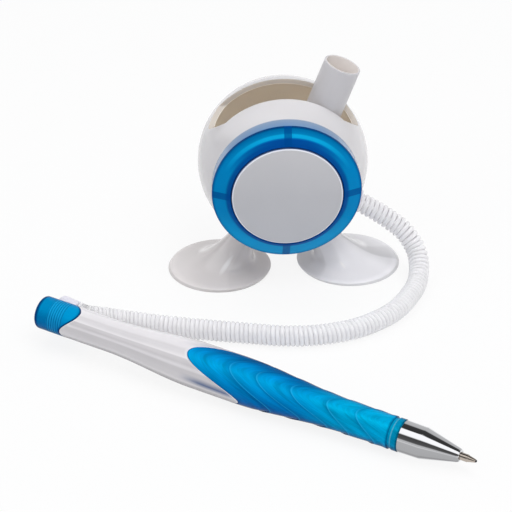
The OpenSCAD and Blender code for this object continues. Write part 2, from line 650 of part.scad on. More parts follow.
function cord_ring(i) = let (d = cord_dir(i), u = unit(cross([0, 0, 1], d)), v = cross(d, u))
    [for (j = [0:9]) cord_line[i] + coil_d / 2 * (cos(36 * j) * u + sin(36 * j) * v)];
module cord() color("#f4f4f6") skin([for (i = [0:cord_last]) cord_ring(i)]);

ball_shell();
front_plate();
front_bezel();
front_disc();
pen_tube();
foot_left();
foot_right();
cord_bush();
cord_anchor();
cord();
cord_ferrule();
rear_cap();
barrel_shell();
grip_barrel();
neck_ring();
nose_cone();
refill_tube();
refill_adapter();
refill_tip();
writing_ball();
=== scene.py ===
import json
import math
from bisect import bisect_right
import bpy
import bmesh
from mathutils import Vector, Matrix


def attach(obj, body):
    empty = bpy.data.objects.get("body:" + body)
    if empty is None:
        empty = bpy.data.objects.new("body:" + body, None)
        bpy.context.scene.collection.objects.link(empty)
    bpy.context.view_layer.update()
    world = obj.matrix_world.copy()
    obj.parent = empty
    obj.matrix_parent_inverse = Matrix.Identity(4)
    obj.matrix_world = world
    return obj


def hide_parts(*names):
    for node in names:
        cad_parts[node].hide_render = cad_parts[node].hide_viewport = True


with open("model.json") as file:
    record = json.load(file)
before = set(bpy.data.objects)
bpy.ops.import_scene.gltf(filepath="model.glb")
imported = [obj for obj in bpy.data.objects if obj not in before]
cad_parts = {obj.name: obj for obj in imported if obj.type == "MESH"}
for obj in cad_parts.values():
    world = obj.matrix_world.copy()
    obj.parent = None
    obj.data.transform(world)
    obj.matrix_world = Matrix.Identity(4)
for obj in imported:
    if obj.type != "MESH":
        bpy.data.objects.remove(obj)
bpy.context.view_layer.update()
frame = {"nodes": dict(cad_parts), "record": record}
scene = bpy.context.scene
scene.view_settings.view_transform = "Standard"
MM = 0.001


def rad(a):
    return math.radians(a)


def shift(x, y, z):
    return Matrix.Translation((x, y, z))


def spin(degrees, axis):
    return Matrix.Rotation(rad(degrees), 4, axis)


def chord(r, h):
    """distance along a sphere's axis at which it is h wide"""
    return math.sqrt(r ** 2 - h ** 2)


def clamp(x):
    return max(0.0, min(1.0, x))


def near(d, width):
    """1 at the place itself, and 0 from the width on"""
    return clamp(1 - d / width)


def smooth(x, a, b):
    """rises softly from 0 at a to 1 at b"""
    t = clamp((x - a) / (b - a))
    return t * t * (3 - 2 * t)


# the stand's sizes in millimetres and degrees, as in the source
STAND, STAND_TURN = Vector((14.8, 45.5, 0)), 2.7
BALL_R, BALL_WALL = 26.0, 1.6
INNER_R = BALL_R - BALL_WALL
FOOT_R, FOOT_H, FOOT_ANGLE, FOOT_SPAN, FEET_RIGHT = 15.75, 13.3, 23.5, 41.2, 0.7
FOOT_SEAT_R, NECK_R, STUB_R, HEAD_R, HEAD_T, HEAD_GAP = 4.3, 4.2, 2.6, 3.4, 1.6, 0.2
FOOT_SEAT = chord(BALL_R, FOOT_SEAT_R)
BALL = STAND + Vector((0, 0, FOOT_H + FOOT_SEAT * math.cos(rad(FOOT_ANGLE))))
COLLAR_R, COLLAR_LENGTH, BEZEL_R, DISC_R = 22.4, 4.2, 22.6, 16.7
COLLAR_AT = chord(BALL_R, COLLAR_R)
FRONT_TURN, FRONT_TILT = 0.5, 3.7
SLOT_AHEAD, TUBE_LEAN, TUBE_SHIFT, TUBE_BORE = 2.1, 20.4, 5.0, 5.1
EXIT_TURN, EXIT_DOWN, BUSH_SEAT_R, BUSH_FLANGE = 5.2, 30.5, 3.75, 1.2

# the pen's sizes: distances along it run from the rear end
PEN_LENGTH, TIP_LENGTH, CONE_LENGTH, STRAIGHT_LENGTH, NECK_LENGTH = 142.0, 4.9, 11.2, 6.4, 3.0
NOSE_EDGE = PEN_LENGTH - TIP_LENGTH - CONE_LENGTH
GRIP_FRONT = NOSE_EDGE - STRAIGHT_LENGTH - NECK_LENGTH
REAR_R, REAR_AT = 5.0, GRIP_FRONT * 0.206
BELLY_R, SWELL_AT, BELLY_AT = 6.9, GRIP_FRONT * 0.4635, GRIP_FRONT * 0.57
WAIST_R, WAIST_AT = 4.9, GRIP_FRONT * 0.884
FRONT_R, NOSE_EDGE_R = 4.82, 4.58
SHELL_WALL, SEAM = 1.2, 0.12
PEN_LEFT, PEN_BEHIND, PEN_TURN = 58.8, 4.9, 32.4
NOSE_LIFT, BELLY_LIFT = 0.2, 0.02
TONGUE_TURN, CAP_TURN = 28.0, 7.5
# the turn round the pen is counted from its upper outline, this far behind the tongue
TURN_START = 61.4


def blend(a, b, t):
    return a + (b - a) * (1 - math.cos(math.pi * t)) / 2


def pen_r(s):
    """the pen's radius at the distance s"""
    if s < REAR_AT:
        return REAR_R
    if s < SWELL_AT:
        return blend(REAR_R, BELLY_R, (s - REAR_AT) / (SWELL_AT - REAR_AT))
    if s < BELLY_AT:
        return BELLY_R
    if s < WAIST_AT:
        return blend(BELLY_R, WAIST_R, (s - BELLY_AT) / (WAIST_AT - BELLY_AT))
    return blend(WAIST_R, FRONT_R, (min(s, GRIP_FRONT) - WAIST_AT) / (GRIP_FRONT - WAIST_AT))


# the pen lies on its belly, with the edge of its nose just over the table
REST_AT = BELLY_AT + (WAIST_AT - BELLY_AT) * 0.14
REST_R = pen_r(REST_AT)
PEN_PITCH = math.asin((REST_R - NOSE_EDGE_R - NOSE_LIFT) / (NOSE_EDGE - REST_AT))
PEN_REST = REST_R * math.cos(PEN_PITCH) + REST_AT * math.sin(PEN_PITCH) + BELLY_LIFT

# frames of the parts: z runs out of the front, up the tube, out of the outlet and along the pen
BALL_M = shift(*BALL)
STAND_M = shift(*STAND) @ spin(STAND_TURN, "Z")
FRONT_M = BALL_M @ spin(FRONT_TURN, "Z") @ spin(90 + FRONT_TILT, "X")
TUBE_M = BALL_M @ shift(0, -SLOT_AHEAD, 0) @ spin(TUBE_LEAN, "Y") @ shift(TUBE_SHIFT, 0, 0)
EXIT_M = BALL_M @ spin(-EXIT_TURN, "Z") @ spin(90 + EXIT_DOWN, "Y")
PEN_M = (shift(-PEN_LEFT, PEN_BEHIND, PEN_REST) @ spin(-PEN_TURN, "Z")
         @ spin(90 + math.degrees(PEN_PITCH), "Y"))
TONGUE_M = PEN_M @ spin(180 + TONGUE_TURN, "Z")

# camera at the photograph's viewing angle, placed from the stand
CAMERA_TURN, CAMERA_RISE, CAMERA_ROLL = -3.1, 30.11, 0.16
CAMERA_FROM_STAND = Vector((-44.91, -679.73, 397.845))
LENS, SENSOR = 177.1, 36


def set_camera():
    az, el, roll = rad(CAMERA_TURN), rad(CAMERA_RISE), rad(CAMERA_ROLL)
    back = Vector((math.sin(az) * math.cos(el), -math.cos(az) * math.cos(el), math.sin(el)))
    level = Vector((math.cos(az), math.sin(az), 0))
    up = back.cross(level)
    r = math.cos(roll) * level + math.sin(roll) * up
    u = -math.sin(roll) * level + math.cos(roll) * up
    data = bpy.data.cameras.new("camera")
    data.lens = LENS
    data.sensor_width = SENSOR
    data.clip_start = 0.01
    data.clip_end = 10
    cam = bpy.data.objects.new("camera", data)
    scene.collection.objects.link(cam)
    place = (STAND + CAMERA_FROM_STAND) * MM
    cam.matrix_world = Matrix((
        (r.x, u.x, back.x, place.x),
        (r.y, u.y, back.y, place.y),
        (r.z, u.z, back.z, place.z),
        (0, 0, 0, 1)))
    scene.camera = cam


set_camera()


# mesh helpers
def mesh_object(name, verts, faces):
    """smooth mesh from points in millimetres"""
    me = bpy.data.meshes.new(name)
    me.from_pydata([v * MM for v in verts], [], faces)
    me.update()
    me.shade_smooth()
    ob = bpy.data.objects.new(name, me)
    scene.collection.objects.link(ob)
    return ob


def ring_faces(rows, columns, first=0, closed=False):
    """quads between rings that follow each other, with flat ends unless the last ring joins the first"""
    faces = []
    for i in range(rows if closed else rows - 1):
        a = first + i * columns
        b = first + (i + 1) % rows * columns
        for j in range(columns):
            k = (j + 1) % columns
            faces.append((a + j, a + k, b + k, b + j))
    if not closed:
        faces.append(tuple(range(first + columns - 1, first - 1, -1)))
        faces.append(tuple(range(first + (rows - 1) * columns, first + rows * columns)))
    return faces


def on_circle(r, j, n, z=0.0):
    a = 2 * math.pi * j / n
    return Vector((r * math.cos(a), r * math.sin(a), z))


def sharpen(ob, angle):
    """edges that fold by more than the angle stay crisp"""
    bm = bmesh.new()
    bm.from_mesh(ob.data)
    for e in bm.edges:
        if len(e.link_faces) == 2 and e.calc_face_angle(0) > rad(angle):
            e.smooth = False
    bm.to_mesh(ob.data)
    bm.free()


# materials
def srgb(r, g, b):
    """a colour given in display numbers, as a linear one"""
    return tuple(((c / 255 + 0.055) / 1.055) ** 2.4 if c > 10 else c / 255 / 12.92 for c in (r, g, b))


def display(*stops):
    """ramp stops given as a place and a colour in display numbers"""
    return [(v, srgb(r, g, b)) for v, r, g, b in stops]


class Nodes:
    """a node tree with helpers that add nodes and link them"""

    def __init__(self, tree):
        self.tree = tree

    def link(self, a, b):
        self.tree.links.new(a, b)

    def node(self, kind, **props):
        n = self.tree.nodes.new("ShaderNode" + kind)
        for k, v in props.items():
            setattr(n, k, v)
        return n

    def feed(self, socket, v):
        """a number or a colour is set on the socket, and an output is linked to it"""
        if isinstance(v, (int, float)):
            socket.default_value = v
        elif isinstance(v, tuple):
            socket.default_value = (*v, 1)
        else:
            self.link(v, socket)

    def math(self, op, a, b=None, clamp=False):
        n = self.node("Math", operation=op, use_clamp=clamp)
        self.feed(n.inputs[0], a)
        if b is not None:
            self.feed(n.inputs[1], b)
        return n.outputs[0]

    def ramp(self, fac, stops):
        n = self.node("ValToRGB")
        elements = n.color_ramp.elements
        while len(elements) < len(stops):
            elements.new(0.5)
        for e, (place, _) in zip(elements, stops):
            e.position = place
        for e, (_, color) in zip(elements, stops):
            e.color = (*color, 1)
        self.link(fac, n.inputs["Fac"])
        return n.outputs["Color"]

    def grey(self, fac, stops):
        return self.ramp(fac, [(place, (v, v, v)) for place, v in stops])

    def mix_shader(self, fac, a, b):
        n = self.node("MixShader")
        for socket, v in zip(n.inputs, (fac, a, b)):
            self.link(v, socket)
        return n.outputs[0]


class Shader(Nodes):
    """a Principled material whose patterns lie in the object's own space"""

    def __init__(self, name, **sockets):
        self.mat = bpy.data.materials.new(name)
        self.mat.use_nodes = True
        super().__init__(self.mat.node_tree)
        self.p = self.tree.nodes["Principled BSDF"]
        for k, v in sockets.items():
            self.p.inputs[k.replace("_", " ")].default_value = v

    def spot(self):
        return self.node("TexCoord").outputs["Object"]

    def local(self, matrix):
        """coordinates in millimetres in a frame given by its matrix"""
        inv = matrix.inverted()
        m = self.node("Mapping")
        m.inputs["Scale"].default_value = (1 / MM, 1 / MM, 1 / MM)
        m.inputs["Rotation"].default_value = inv.to_3x3().to_euler("XYZ")
        m.inputs["Location"].default_value = inv.translation
        self.link(self.spot(), m.inputs["Vector"])
        s = self.node("SeparateXYZ")
        self.link(m.outputs[0], s.inputs[0])
        return s.outputs[0], s.outputs[1], s.outputs[2]

    def reach(self, *parts):
        """length of a vector given by its parts"""
        squares = [self.times(v, v) for v in parts]
        total = squares[0]
        for v in squares[1:]:
            total = self.math("ADD", total, v)
        return self.math("SQRT", total)

    def share(self, v, start, span):
        """how far a coordinate has run along a span, from 0 to 1"""
        return self.math("DIVIDE", self.math("SUBTRACT", v, start), span)

    def times(self, a, b):
        return self.math("MULTIPLY", a, b)

    def turn(self):
        """share of a half turn round the pen, as around() counts it"""
        x, y, z = self.local(TONGUE_M)
        half = self.math("DIVIDE", self.math("ARCTAN2", y, x), math.pi)
        return self.math("FRACT", self.math("ADD", half, 1 + TURN_START / 180))

    def attr(self, name):
        return self.node("Attribute", attribute_name=name).outputs["Fac"]

    def noise(self, scale, detail=2, rough=0.5):
        n = self.node("TexNoise")
        n.inputs["Scale"].default_value = scale
        n.inputs["Detail"].default_value = detail
        n.inputs["Roughness"].default_value = rough
        self.link(self.spot(), n.inputs["Vector"])
        return n.outputs["Fac"]

    def mix(self, fac, a, b, kind="MIX"):
        n = self.node("Mix", data_type="RGBA", blend_type=kind)
        for i, v in ((0, fac), (6, a), (7, b)):
            self.feed(n.inputs[i], v)
        return n.outputs[2]

    def shade(self, color, factor):
        return self.mix(1.0, color, factor, "MULTIPLY")

    def color(self, c, wander=0.03, scale=60):
        """base colour with a soft wander in its brightness"""
        f = self.grey(self.noise(scale), [(0.3, 1 - wander), (0.7, 1 + wander)])
        self.link(self.shade(c, f), self.p.inputs["Base Color"])

    def rough(self, lo, hi, scale=45):
        n = self.node("MapRange")
        n.inputs["To Min"].default_value = lo
        n.inputs["To Max"].default_value = hi
        self.link(self.noise(scale), n.inputs["Value"])
        self.link(n.outputs["Result"], self.p.inputs["Roughness"])

    def bump(self, height, strength):
        b = self.node("Bump")
        b.inputs["Strength"].default_value = strength
        b.inputs["Distance"].default_value = 0.2 * MM
        self.link(height, b.inputs["Height"])
        self.link(b.outputs[0], self.p.inputs["Normal"])


def plastic(name, rgb, lo, hi, bump=0.04, **sockets):
    s = Shader(name, **sockets)
    s.color(srgb(*rgb), 0.02)
    s.rough(lo, hi)
    if bump:
        s.bump(s.noise(1500, 3), bump)
    return s.mat


def shell_white():
    """white gloss with painted light and shade: darker to the left, a brighter warm cream and a faint glow
    inside, shade on the slot's cut faces, and the bezel's blue on the collar behind it
    """
    s = Shader("white_gloss", Coat_Weight=0.25, Coat_Roughness=0.08, Subsurface_Weight=0.5,
               Subsurface_Scale=0.0015, Subsurface_Radius=(1, 0.95, 0.88))
    x, y, z = s.local(FRONT_M)
    far = s.reach(x, y, z)
    # each limit lies a little off its skin, so that the skin falls wholly on one side of it
    inside = s.math("LESS_THAN", far, INNER_R + 0.15)
    under_skin, behind_collar = s.math("LESS_THAN", far, BALL_R - 0.07), s.math("LESS_THAN", z, 12.0)
    cut = s.times(under_skin, behind_collar)
    collar = s.times(s.math("LESS_THAN", s.reach(x, y), COLLAR_R + 0.15),
                    s.math("GREATER_THAN", z, COLLAR_AT + 0.15))
    # painted reflection and shade: the collar takes the bezel's blue, deepest next to the bezel
    cast = s.ramp(s.share(z, COLLAR_AT, COLLAR_LENGTH), display(
        (0.0, 206, 210, 220), (0.12, 136, 160, 188), (0.6, 118, 150, 188), (0.85, 110, 150, 192),
        (1.0, 60, 130, 190)))
    # painted shade: the white darkens towards the left side
    white = s.shade(srgb(224, 222, 224), s.grey(s.share(x, -27, 54), [(0.05, 0.9), (0.3, 0.95), (0.6, 1.0)]))
    c = s.mix(collar, white, cast)
    # painted shade: the slot's cut faces are a greyer beige than the white
    c = s.mix(cut, c, srgb(214, 206, 197))
    # painted light: the inside is a brighter, warmer cream than the outside white
    c = s.mix(inside, c, srgb(250, 243, 232))
    s.color(c, 0.015)
    # painted light: a faint glow inside stands in for daylight through the thin white wall
    s.p.inputs["Emission Color"].default_value = (0.5, 0.4, 0.34, 1)
    s.link(s.times(inside, 0.12), s.p.inputs["Emission Strength"])
    s.rough(0.16, 0.24)
    s.bump(s.noise(900, 3), 0.03)
    return s.mat


def tube_white():
    s = Shader("tube_white", Subsurface_Weight=0.4, Subsurface_Scale=0.001, Subsurface_Radius=(1, 1, 1))
    x, y, z = s.local(TUBE_M)
    bore = s.math("LESS_THAN", s.reach(x, y), TUBE_BORE + 0.1)
    # painted light: the bore is a brighter, warmer white than the outside, for daylight through the thin
    # wall
    s.color(s.mix(bore, srgb(205, 203, 206), srgb(252, 244, 240)), 0.015)
    s.rough(0.3, 0.4)
    s.bump(s.noise(1200, 3), 0.04)
    return s.mat


def disc_grey():
    """satin grey, painted a little lighter towards the top, with a painted highlight on its rim and the
    painted shade of its gap
    """
    s = Shader("disc_grey")
    x, y, z = s.local(FRONT_M)
    out = s.reach(x, y)
    # painted light: a little lighter towards the top
    c = s.ramp(s.share(y, -DISC_R, 2 * DISC_R), display(
        (0.0, 198, 199, 204), (0.5, 198, 198, 202), (1.0, 208, 207, 210)))
    # painted highlight on the rim, and painted shade in the gap beyond it
    c = s.mix(s.math("GREATER_THAN", out, DISC_R - 0.42), c, srgb(236, 238, 246))
    c = s.mix(s.math("GREATER_THAN", out, DISC_R - 0.06), c, srgb(90, 120, 170))
    s.color(c, 0.02, 35)
    s.rough(0.5, 0.62)
    s.bump(s.noise(2600, 4, 0.6), 0.12)
    return s.mat


# clear blue plastic has a weak gloss with a blue tint
CLEAR_BLUE = {"Specular_IOR_Level": 0.5, "Specular_Tint": (0.02, 0.5, 0.9, 1)}


def bezel_blue():
    """clear blue with its see-through look painted: the channel shows cyan as painted light from the white
    behind, its walls and ribs show deep blue, and its rims are painted dark as shade
    """
    s = Shader("blue_clear", IOR=1.18, **CLEAR_BLUE)
    x, y, z = s.local(FRONT_M)
    out = s.reach(x, y)
    # the channel's walls show through the sloping face, further out above than below; the cyan is painted
    # light and the rims painted shade
    band = s.share(out, DISC_R, BEZEL_R - DISC_R)
    high = s.ramp(band, display(
        (0.0, 4, 62, 140), (0.1, 4, 74, 154), (0.44, 4, 78, 158), (0.5, 6, 120, 196), (0.54, 12, 168, 224),
        (0.66, 14, 174, 228), (0.73, 4, 130, 190), (0.93, 2, 112, 172), (1.0, 0, 60, 116)))
    side = s.ramp(band, display(
        (0.0, 4, 72, 148), (0.24, 6, 84, 156), (0.36, 4, 134, 196), (0.85, 4, 134, 198),
        (0.94, 2, 104, 168), (1.0, 0, 76, 136)))
    low = s.ramp(band, display(
        (0.0, 4, 72, 150), (0.2, 6, 88, 164), (0.28, 2, 154, 214), (0.75, 2, 160, 222),
        (0.92, 2, 136, 196), (1.0, 0, 100, 156)))
    up = s.math("DIVIDE", y, BEZEL_R)
    c = s.mix(s.math("SUBTRACT", s.times(up, 2.2), 0.8, clamp=True), side, high)
    c = s.mix(s.math("SUBTRACT", s.times(up, -2.2), 0.5, clamp=True), c, low)
    rib = s.math("MINIMUM", s.math("ABSOLUTE", x), s.math("ABSOLUTE", y))
    on_rib = s.times(s.math("LESS_THAN", rib, 1.15), s.math("GREATER_THAN", out, DISC_R + 0.3))
    c = s.mix(s.times(on_rib, 0.72), c, srgb(0, 72, 146))
    s.color(c, 0.04, 90)
    s.rough(0.08, 0.14)
    return s.mat


# broad strokes, and fine steeper ones over them: bend in millimetres, scale across and along, and greys
STROKES = ((16.0, 0.34, 2.6, [(0.36, 0.82), (0.46, 0.98), (0.54, 1.02), (0.66, 1.14)]),
           (25.0, 0.95, 7.0, [(0.36, 0.91), (0.5, 1.0), (0.66, 1.07)]))


def pen_strokes(s, c, turn):
    """streaks that run along the bent leaf lines"""
    x, y, z = s.local(TONGUE_M)
    depth = s.times(y, y)
    bend = s.math("DIVIDE", depth, s.math("ADD", s.times(x, x), depth))
    for curve, across, along, greys in STROKES:
        spot = s.node("CombineXYZ")
        s.link(s.times(s.math("SUBTRACT", z, s.times(bend, curve)), across), spot.inputs[0])
        s.link(s.times(turn, along), spot.inputs[1])
        streak = s.node("TexNoise")
        streak.inputs["Scale"].default_value = 1.0
        streak.inputs["Detail"].default_value = 3
        s.link(spot.outputs[0], streak.inputs["Vector"])
        c = s.shade(c, s.grey(streak.outputs["Fac"], greys))
    return c


def neck_step(s, c):
    """the neck ring has a painted highlight line where it steps up and a dark rim of painted shade before
    the nose, over painted shade along its length
    """
    step = s.share(s.local(TONGUE_M)[2], GRIP_FRONT, NECK_LENGTH)
    c = s.shade(c, s.grey(step, [
        (0.0, 0.5), (0.08, 0.75), (0.3, 0.8), (0.4, 0.72), (0.82, 0.66), (0.94, 0.36)]))
    off_line = s.math("ABSOLUTE", s.math("SUBTRACT", step, 0.32))
    pale = s.math("SUBTRACT", 1.0, s.times(off_line, 10), clamp=True)
    return s.mix(s.times(pale, 0.7), c, srgb(120, 200, 216))


def pen_blue(name, stops, front=None, neck=False):
    """blue plastic with painted light and shade that run round the pen, and painted shade and highlight
    lines at its edges
    """
    s = Shader(name, IOR=1.12, **CLEAR_BLUE)
    turn = s.turn()
    c = s.ramp(turn, stops)
    if front:
        c = pen_strokes(s, s.mix(s.attr("front"), c, s.ramp(turn, front)), turn)
    if neck:
        c = neck_step(s, pen_strokes(s, c, turn))
    # painted shade at the edges, then painted highlight lines
    c = s.mix(s.attr("dark"), c, srgb(0, 44, 104))
    c = s.mix(s.attr("light"), c, srgb(50, 184, 236))
    s.color(c, 0.03, 140)
    s.rough(0.12, 0.2)
    s.bump(s.noise(700, 3), 0.02)
    return s.mat


# painted light and shade on the blue, from the upper outline, over a painted light band, to the lower
# outline
GRIP_STOPS = display(
    (0.0, 0, 40, 92), (0.05, 0, 84, 138), (0.16, 0, 102, 166), (0.26, 0, 134, 200), (0.4, 2, 160, 219),
    (0.6, 0, 130, 197), (0.81, 0, 98, 170), (0.94, 0, 64, 118), (1.0, 0, 36, 80))
FRONT_STOPS = display(
    (0.0, 0, 60, 104), (0.05, 0, 122, 170), (0.16, 0, 163, 213), (0.33, 0, 166, 216), (0.4, 2, 180, 227),
    (0.48, 0, 158, 206), (0.75, 0, 160, 212), (0.82, 0, 128, 180), (0.94, 0, 88, 128), (1.0, 0, 44, 84))
CAP_STOPS = display(
    (0.0, 0, 66, 120), (0.05, 0, 122, 182), (0.2, 0, 150, 208), (0.44, 0, 150, 209), (0.57, 0, 130, 190),
    (0.77, 0, 115, 181), (0.84, 0, 96, 148), (0.93, 0, 80, 128), (1.0, 0, 46, 96))


def pearl():
    """white shell with painted light and shade round the pen: lighter on each flute's crest, greyer in its
    hollow, darkest at the lower outline
    """
    s = Shader("pearl_white", Coat_Weight=0.12, Coat_Roughness=0.1)
    flute_light_and_shade = ((0.0, 208), (0.03, 234), (0.12, 227), (0.17, 239), (0.3, 233), (0.34, 215), (0.385, 217),
              (0.44, 232), (0.46, 203), (0.52, 202), (0.56, 226), (0.58, 222), (0.6, 204), (0.66, 203),
              (0.8, 218), (0.87, 170), (1.0, 120))
    c = s.ramp(s.turn(), [(place, srgb(v + 1, v - 2, v + 1)) for place, v in flute_light_and_shade])
    # painted shadow beside the shell's points and before the grip, then a painted highlight along its edges
    c = s.mix(s.attr("dark"), c, srgb(52, 84, 132))
    c = s.mix(s.attr("light"), c, srgb(250, 250, 255))
    s.color(c, 0.02, 120)
    s.rough(0.2, 0.28)
    s.bump(s.noise(1400, 3), 0.03)
    return s.mat


def foot_lean(side):
    """x of a foot's middle on the table, and how far its cone leans from there to its seat"""
    seat = side * FOOT_SEAT * math.sin(rad(FOOT_ANGLE))
    base = side * FOOT_SPAN / 2 + FEET_RIGHT
    return base, seat - base


def lit_foot(name, rgb, side, around_cone, glint):
    """gloss white foot with painted light and shade in wedges round the leaning cone, a painted glint, and
    painted shade on the lip
    """
    s = Shader(name, Coat_Weight=0.25)
    x, y, z = s.local(STAND_M)
    base, lean = foot_lean(side)
    middle = s.math("ADD", s.times(z, lean / FOOT_H), base)
    turn = s.math("ARCTAN2", s.math("SUBTRACT", x, middle), s.times(y, -1.0))
    turn = s.math("ADD", s.math("DIVIDE", turn, 2 * math.pi), 0.5)
    # painted light and shade: lighter and darker wedges round the cone
    wedge = s.grey(turn, [(0.5 + a / 360, v) for a, v in around_cone])
    # painted shade greys the lip's edge, with a painted highlight line where it turns up, and the upper cone
    # is painted a little darker
    lip = s.grey(s.times(z, 0.5), [(0.0, 0.76), (0.38, 0.84), (0.5, 1.05), (0.62, 1.05), (0.72, 1.0)])
    lip = s.shade(lip, s.grey(s.math("DIVIDE", z, FOOT_H), [(0.45, 1.0), (0.8, 0.92)]))
    c = s.shade(s.shade(srgb(*rgb), wedge), lip)
    at, high, wide, tall = glint
    off = s.share(turn, 0.5 + at / 360, wide / 360)
    rise = s.share(z, high, tall)
    from_glint = s.math("ADD", s.times(off, off), s.times(rise, rise))
    c = s.mix(s.math("SUBTRACT", 1.0, from_glint, clamp=True), c, srgb(252, 250, 250))
    s.color(c, 0.02)
    s.rough(0.14, 0.2)
    s.bump(s.noise(1500, 3), 0.02)
    return s.mat


def chrome():
    """bright metal, with painted darker reflections over the underside, which lies over the table"""
    s = Shader("chrome_nose", Metallic=1.0)
    underside_reflection_shade = s.grey(s.turn(), [(0.57, 1.0), (0.61, 0.52), (0.78, 0.5), (0.83, 0.34), (0.87, 0.4), (0.93, 0.95),
                             (1.0, 1.0)])
    s.color(s.shade(srgb(228, 229, 232), underside_reflection_shade), 0.01)
    s.rough(0.03, 0.06, 200)
    s.bump(s.noise(2500, 2), 0.004)
    return s.mat


MAT = {
    "white_gloss": shell_white(),
    "plate_white": plastic("plate_white", (224, 224, 226), 0.35, 0.45),
    "disc_grey": disc_grey(),
    "tube_white": tube_white(),
    # the feet are lit and shaded copies of one white: the right one is painted brighter, and each has its
    # own painted wedges and glint
    "foot_white": lit_foot("foot_white", (236, 231, 230), -1, [
        (-60, 1.0), (-34, 0.95), (-16, 0.92), (-7, 0.9), (0, 0.9), (5, 0.85), (30, 0.88), (60, 0.96),
        (75, 1.0)], (-13, 5, 8, 2.6)),
    "foot_right": lit_foot("foot_white_right_lit", (244, 243, 246), 1, [
        (-180, 0.92), (-90, 0.86), (-58, 0.84), (-44, 0.86), (-38, 0.98), (0, 1.0), (60, 1.06), (80, 1.04),
        (84, 0.84), (110, 0.88), (118, 0.98), (180, 0.94)], (-2, 3.6, 4, 1)),
    "bush_white": plastic("bush_white", (234, 232, 242), 0.3, 0.4, Subsurface_Weight=0.5,
                          Subsurface_Scale=0.001, Subsurface_Radius=(1, 1, 1)),
    "pearl_white": pearl(),
    "blue_clear": bezel_blue(),
    "cap_blue": pen_blue("cap_blue", CAP_STOPS),
    "grip_blue": pen_blue("grip_blue", GRIP_STOPS, FRONT_STOPS),
    "neck_blue": pen_blue("neck_blue", FRONT_STOPS, neck=True),
    # painted light: the cord glows faintly, which lightens the shade between its turns
    "cord_clear": plastic("cord_clear", (238, 236, 239), 0.2, 0.3, bump=0, Subsurface_Weight=1.0,
                          Subsurface_Scale=0.0016, Subsurface_Radius=(1, 1, 1),
                          Emission_Color=(0.9, 0.9, 0.9, 1), Emission_Strength=0.06),
    "chrome_nose": chrome(),
    "refill_clear": plastic("refill_clear", (60, 70, 140), 0.3, 0.4),
    "adapter_white": plastic("adapter_white", (224, 224, 216), 0.4, 0.5),
    "tip_nickel": plastic("tip_nickel", (186, 176, 166), 0.14, 0.22, bump=0, Metallic=1.0),
    "ball_metal": plastic("ball_metal", (60, 60, 64), 0.2, 0.3, bump=0, Metallic=1.0),
}


def dress(ob, look):
    ob.data.materials.clear()
    ob.data.materials.append(MAT[look])


def piece(ob, slot, node, look=None):
    """a modelled piece that stands for a node of the frame"""
    dress(ob, look or slot)
    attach(ob, "root")
    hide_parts(node)


# the cord: a helix of wire round the route's points, which are those of the source
EXIT_DIR = (EXIT_M.to_3x3() @ Vector((0, 0, 1))).normalized()
EXIT = BALL + (chord(BALL_R, BUSH_SEAT_R) + BUSH_FLANGE) * EXIT_DIR
FERRULE_DROP, FERRULE_LOW, FERRULE_AT, FERRULE_LEAN, FERRULE_SWING = 79, -0.55, 6.5, 4.8, 9.9
FERRULE_OUT = REAR_R + 3.0 + 0.75
FERRULE_M = (PEN_M @ spin(FERRULE_DROP, "Z") @ shift(FERRULE_OUT, FERRULE_LOW, FERRULE_AT)
             @ spin(FERRULE_LEAN, "Y") @ spin(FERRULE_SWING, "X"))
END = FERRULE_M.translation.copy()
END_DIR = (FERRULE_M.to_3x3() @ Vector((0, 0, -1))).normalized()
ROUTE = [Vector(p) for p in (
    (43.5, 42.5, 20), (47.5, 41.5, 17.5), (51, 40.5, 15), (53.5, 39, 12.5), (55.5, 37, 9.5),
    (56.3, 34, 7), (56, 29.5, 4.8), (54.5, 24, 3.6), (51.6, 18, 3.3), (48.3, 12.4, 3.25),
    (44.5, 8, 3.25), (40, 4.4, 3.25), (34.4, 1, 3.25), (28, -1.2, 3.25), (20, -2.5, 3.25),
    (12, -2.2, 3.25), (4, -0.7, 3.25), (-4, 0.9, 3.25), (-12, 2.6, 3.25), (-20, 4.4, 3.3),
    (-27, 6, 3.5), (-33, 6.9, 4.1), (-38, 6.7, 5.2), (-42.5, 6.4, 6.2))]
# the first and the last point only steer the curve's ends
ROUTE = [EXIT - 6 * EXIT_DIR, EXIT] + ROUTE + [END - 3 * END_DIR, END, END + 6 * END_DIR]
ROUTE_STEPS = 24
COIL_R, WIRE_R, WIRE_SIDES, TURN_STEPS = 3.2, 0.71, 8, 16
# bare length before the first turn and after the last one
BARE_START, BARE_END = 0.35, 0.3
# turns stand apart near the ball, close up further on and lie tight where the cord bends up to the pen
PITCH_NEAR, PITCH_FAR, PITCH_END = 1.6, 1.34, 0.9
CLOSE_FROM, CLOSE_OVER, TIGHT_LAST, TIGHT_OVER = 20, 20, 13, 7


def spline(a, b, c, d, t):
    """a smooth curve from b to c, at the share t"""
    square, cube = 2 * a - 5 * b + 4 * c - d, 3 * b - a - 3 * c + d
    return 0.5 * (2 * b + (c - a) * t + square * t * t + cube * t ** 3)


def cord_axis():
    pts = []
    for i in range(1, len(ROUTE) - 2):
        for k in range(ROUTE_STEPS):
            pts.append(spline(*ROUTE[i - 1:i + 3], k / ROUTE_STEPS))
    pts.append(END.copy())
    return pts


def directions(pts):
    ends = zip([pts[0]] + pts[:-1], pts[1:] + [pts[-1]])
    return [(b - a).normalized() for a, b in ends]


